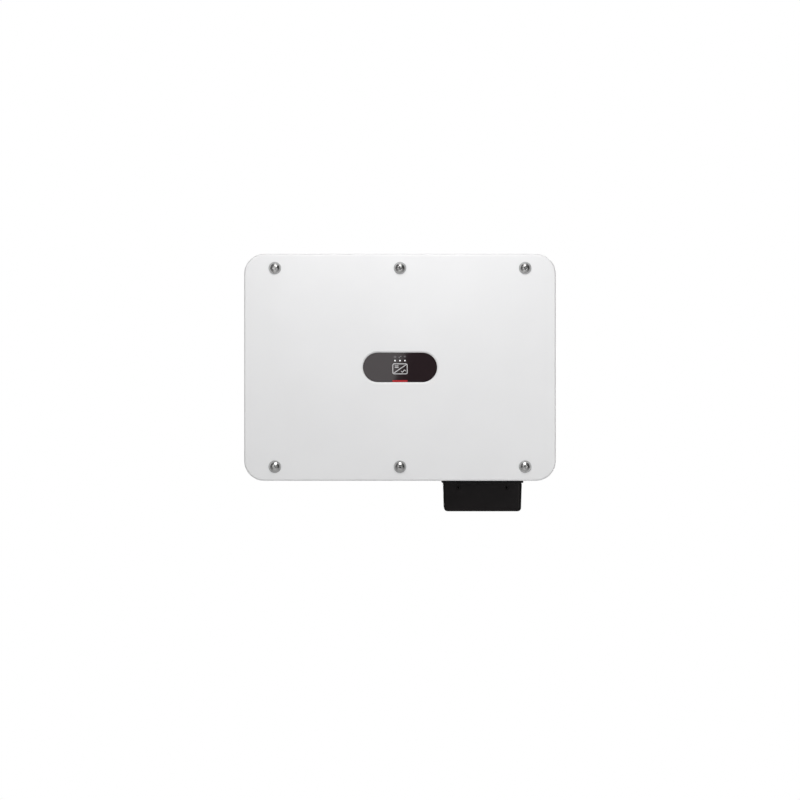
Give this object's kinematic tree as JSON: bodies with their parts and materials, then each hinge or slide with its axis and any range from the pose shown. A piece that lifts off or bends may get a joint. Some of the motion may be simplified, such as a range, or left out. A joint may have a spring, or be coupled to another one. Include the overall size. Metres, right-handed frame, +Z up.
{
  "type": "string inverter",
  "caption": "Wall-mounted solar string inverter: finned enclosure, flat front cover with indicator window, connectors, rotary isolator and mains wiring box below.",
  "frame": {"origin": "centre of the wall bracket's rear face, which lies on the wall", "axes": "+X to the right as seen from the front, +Y out of the bracket's rear face into the wall, +Z up"},
  "size_m": [0.64, 0.27, 0.53],
  "materials": {
    "white_paint": "satin powder coat, fine texture",
    "grey_paint": "satin powder coat on die-cast aluminium",
    "cast_aluminium": "raw die-cast, matt",
    "galvanised_steel": "zinc coated sheet",
    "stainless_steel": "turned and polished",
    "window_black": "polished, deep black",
    "black_plastic": "fine moulded texture",
    "grey_plastic": "moulded",
    "clear_plastic": "clear, polished",
    "seal_rubber": "soft, matt",
    "circuit_board": "solder mask"
  },
  "bodies": {
    "enclosure": {"wall_bracket": "galvanised_steel", "hanger_left": "galvanised_steel", "hanger_right": "galvanised_steel", "bracket_lock_bolt_left": "stainless_steel", "bracket_lock_bolt_right": "stainless_steel", "housing": "grey_paint", "heat_sink": "cast_aluminium", "cover_gasket": "seal_rubber", "power_module": "black_plastic", "power_board": "circuit_board", "inductor_pack": "cast_aluminium", "capacitor_bank": "black_plastic", "control_board": "circuit_board", "filter_board": "circuit_board", "surge_protector": "grey_plastic", "earth_bolt": "stainless_steel", "dc_switch_body": "grey_plastic", "dc_switch_plate": "black_plastic", "dc_connector_plus_1": "black_plastic", "dc_connector_minus_1": "black_plastic", "dc_connector_plus_2": "black_plastic", "dc_connector_minus_2": "black_plastic", "dc_connector_plus_3": "black_plastic", "dc_connector_minus_3": "black_plastic", "dc_connector_plus_4": "black_plastic", "dc_connector_minus_4": "black_plastic", "dc_connector_plus_5": "black_plastic", "dc_connector_minus_5": "black_plastic", "dc_connector_plus_6": "black_plastic", "dc_connector_minus_6": "black_plastic", "dc_connector_plus_7": "black_plastic", "dc_connector_minus_7": "black_plastic", "dc_connector_plus_8": "black_plastic", "dc_connector_minus_8": "black_plastic", "com_port": "black_plastic", "dongle_port": "black_plastic", "vent_valve": "black_plastic", "ac_box_base": "black_plastic", "ac_box_seal": "seal_rubber", "ac_terminal_block": "grey_plastic"},
    "front_cover": {"front_cover": "white_paint", "cover_screw_1": "stainless_steel", "cover_screw_2": "stainless_steel", "cover_screw_3": "stainless_steel", "cover_screw_4": "stainless_steel", "cover_screw_5": "stainless_steel", "cover_screw_6": "stainless_steel", "indicator_window": "window_black", "indicator_board": "circuit_board", "light_pipe_1": "clear_plastic", "light_pipe_2": "clear_plastic", "light_pipe_3": "clear_plastic"},
    "dc_switch_knob": {"dc_switch_knob": "black_plastic", "dc_switch_shaft": "stainless_steel"},
    "ac_box_lid": {"ac_box_lid": "black_plastic", "ac_cable_grommet": "seal_rubber", "ac_box_screw_left": "stainless_steel", "ac_box_screw_right": "stainless_steel"},
    "com_port_cap": {"com_port_cap": "black_plastic"},
    "dongle_port_cap": {"dongle_port_cap": "black_plastic"}
  },
  "joints": [
    {"name": "front_cover_lift_off", "type": "slide", "parent": "enclosure", "child": "front_cover", "axis": [0, -1, 0], "range_m": [0, 0.14]},
    {"name": "dc_switch_turn", "type": "hinge", "parent": "enclosure", "child": "dc_switch_knob", "pos_m": [-0.256, -0.178, -0.249], "axis": [0, 0, 1], "range_deg": [0, 90]},
    {"name": "ac_box_lid_lift_off", "type": "slide", "parent": "enclosure", "child": "ac_box_lid", "axis": [0, 0, -1], "range_m": [0, 0.07]},
    {"name": "com_port_cap_off", "type": "slide", "parent": "enclosure", "child": "com_port_cap", "axis": [0, 0, -1], "range_m": [0, 0.03]},
    {"name": "dongle_port_cap_off", "type": "slide", "parent": "enclosure", "child": "dongle_port_cap", "axis": [0, 0, -1], "range_m": [0, 0.03]}
  ]
}
